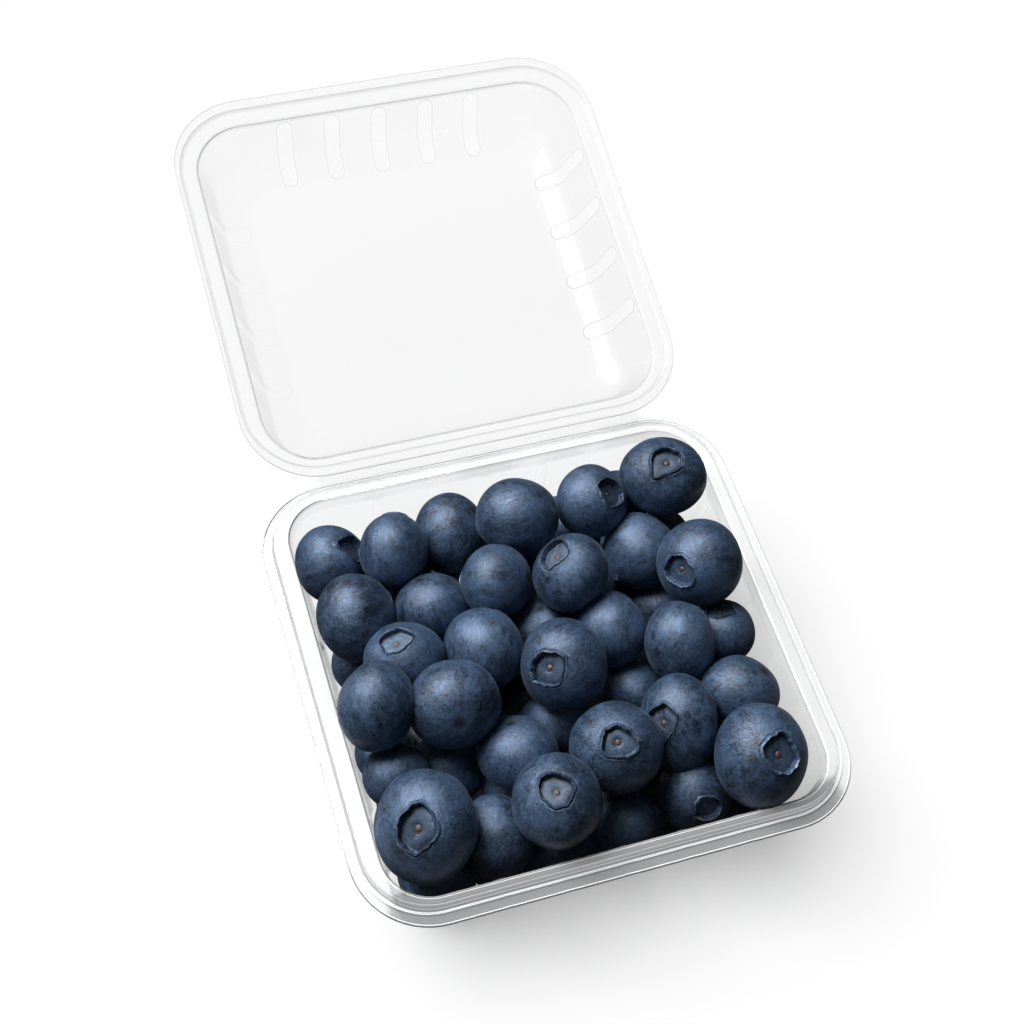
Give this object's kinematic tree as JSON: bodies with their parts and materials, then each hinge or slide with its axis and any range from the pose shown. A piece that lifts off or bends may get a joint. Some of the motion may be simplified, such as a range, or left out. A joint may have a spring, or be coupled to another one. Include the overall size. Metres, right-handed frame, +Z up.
{
  "type": "punnet of blueberries",
  "caption": "Clear moulded punnet: a ribbed tray heaped with fresh blueberries, and its domed lid open behind it on a living hinge.",
  "frame": {"origin": "centre of the tray's flat floor, on the surface it stands on", "axes": "+Z up, +Y from the tray's front to its hinge and the open lid, +X to the right along the hinge"},
  "size_m": [0.106, 0.1974, 0.0572],
  "materials": {
    "tray_plastic": "clear, glossy",
    "lid_plastic": "clear, glossy",
    "berry_skin": "soft skin with a pale waxy bloom"
  },
  "bodies": {
    "tray_body": {"tray": "tray_plastic", "berries": "berry_skin"},
    "lid_body": {"lid": "lid_plastic"}
  },
  "joints": [
    {"name": "lid_hinge", "type": "hinge", "parent": "tray_body", "child": "lid_body", "pos_m": [0, 0.05105, 0.0386], "axis": [1, 0, 0], "range_deg": [-25, 160]}
  ]
}
